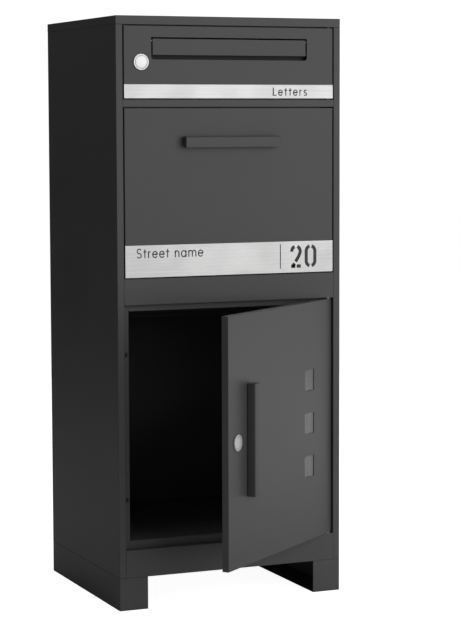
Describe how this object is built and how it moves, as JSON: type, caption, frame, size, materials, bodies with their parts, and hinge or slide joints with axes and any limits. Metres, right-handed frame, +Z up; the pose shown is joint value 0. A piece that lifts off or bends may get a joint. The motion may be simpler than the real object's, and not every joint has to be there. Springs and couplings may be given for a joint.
{
  "type": "parcel letterbox cabinet",
  "caption": "Free-standing steel cabinet on channel feet: locking letter door with mail slot, tilt-out parcel flap with hopper, and locking parcel door with windows.",
  "frame": {"origin": "centre of the footprint on the floor, midway between the four anchor holes in the feet", "axes": "+Z up, -Y out of the cabinet's front, +X towards the doors' hinge side"},
  "size_m": [0.42, 0.6043, 1.02],
  "materials": {
    "anthracite_steel": "fine matt powder coat",
    "brushed_stainless": "brushed along its length",
    "zinc_steel": "satin zinc plate",
    "chrome_lock": "satin chrome",
    "black_plastic": "matt moulded",
    "smoked_pane": "satin smoked sheet",
    "black_rubber": "matt"
  },
  "bodies": {
    "cabinet": {"left_side_panel": "anthracite_steel", "right_side_panel": "anthracite_steel", "roof_cap": "anthracite_steel", "roof_screws": "zinc_steel", "back_panel": "anthracite_steel", "back_rivets": "zinc_steel", "base_panel": "anthracite_steel", "upper_rail": "anthracite_steel", "middle_rail": "anthracite_steel", "lower_rail": "anthracite_steel", "top_stop_rail": "anthracite_steel", "letter_shelf": "anthracite_steel", "baffle_plate": "anthracite_steel", "parcel_floor": "anthracite_steel", "left_foot": "anthracite_steel", "right_foot": "anthracite_steel", "foot_bolts": "zinc_steel", "foot_nuts": "zinc_steel", "hinge_bushes": "zinc_steel", "door_buffers": "black_rubber"},
    "letter_door": {"letter_door_skin": "anthracite_steel", "letter_door_pan": "anthracite_steel", "letter_door_pins": "zinc_steel", "letter_strip": "brushed_stainless", "slot_frame": "black_plastic", "letter_lock_housing": "chrome_lock", "letter_lock_nut": "zinc_steel"},
    "slot_flap": {"slot_flap": "anthracite_steel", "slot_flap_rod": "zinc_steel"},
    "letter_lock": {"letter_lock_plug": "chrome_lock", "letter_lock_cam": "zinc_steel", "letter_cam_screw": "zinc_steel"},
    "letter_cover": {"letter_dust_cover": "chrome_lock"},
    "parcel_flap": {"parcel_flap_skin": "anthracite_steel", "parcel_flap_pan": "anthracite_steel", "parcel_flap_pins": "zinc_steel", "address_strip": "brushed_stainless", "hopper_tray": "anthracite_steel", "left_hopper_wing": "anthracite_steel", "right_hopper_wing": "anthracite_steel", "flap_handle": "anthracite_steel", "flap_handle_screws": "zinc_steel"},
    "parcel_door": {"parcel_door_skin": "anthracite_steel", "parcel_door_pan": "anthracite_steel", "window_pane": "smoked_pane", "parcel_door_pins": "zinc_steel", "door_handle": "anthracite_steel", "door_handle_screws": "zinc_steel", "parcel_lock_housing": "chrome_lock", "parcel_lock_nut": "zinc_steel"},
    "parcel_lock": {"parcel_lock_plug": "chrome_lock", "parcel_lock_cam": "zinc_steel", "parcel_cam_screw": "zinc_steel"},
    "parcel_cover": {"parcel_dust_cover": "chrome_lock"}
  },
  "joints": [
    {"name": "letter_door_hinge", "type": "hinge", "parent": "cabinet", "child": "letter_door", "pos_m": [0.188, -0.1775, 0.942], "axis": [0, 0, 1], "range_deg": [0, 110]},
    {"name": "slot_flap_hinge", "type": "hinge", "parent": "letter_door", "child": "slot_flap", "pos_m": [0, -0.1785, 0.9781], "axis": [-1, 0, 0], "range_deg": [0, 75]},
    {"name": "letter_lock_turn", "type": "hinge", "parent": "letter_door", "child": "letter_lock", "pos_m": [-0.1645, -0.1825, 0.942], "axis": [0, 1, 0], "range_deg": [0, 90]},
    {"name": "letter_cover_swing", "type": "hinge", "parent": "letter_door", "child": "letter_cover", "pos_m": [-0.1645, -0.1845, 0.952], "axis": [0, 1, 0], "range_deg": [0, 150]},
    {"name": "parcel_flap_hinge", "type": "hinge", "parent": "cabinet", "child": "parcel_flap", "pos_m": [0, -0.1777, 0.5877], "axis": [1, 0, 0], "range_deg": [0, 45]},
    {"name": "parcel_door_hinge", "type": "hinge", "parent": "cabinet", "child": "parcel_door", "pos_m": [0.188, -0.1775, 0.31675], "axis": [0, 0, 1], "range_deg": [-38.9, 81.1]},
    {"name": "parcel_lock_turn", "type": "hinge", "parent": "parcel_door", "child": "parcel_lock", "pos_m": [-0.08319, -0.40275, 0.31675], "axis": [-0.628, 0.7782, 0], "range_deg": [0, 90]},
    {"name": "parcel_cover_swing", "type": "hinge", "parent": "parcel_door", "child": "parcel_cover", "pos_m": [-0.08319, -0.40275, 0.32675], "axis": [-0.628, 0.7782, 0], "range_deg": [0, 150]}
  ]
}
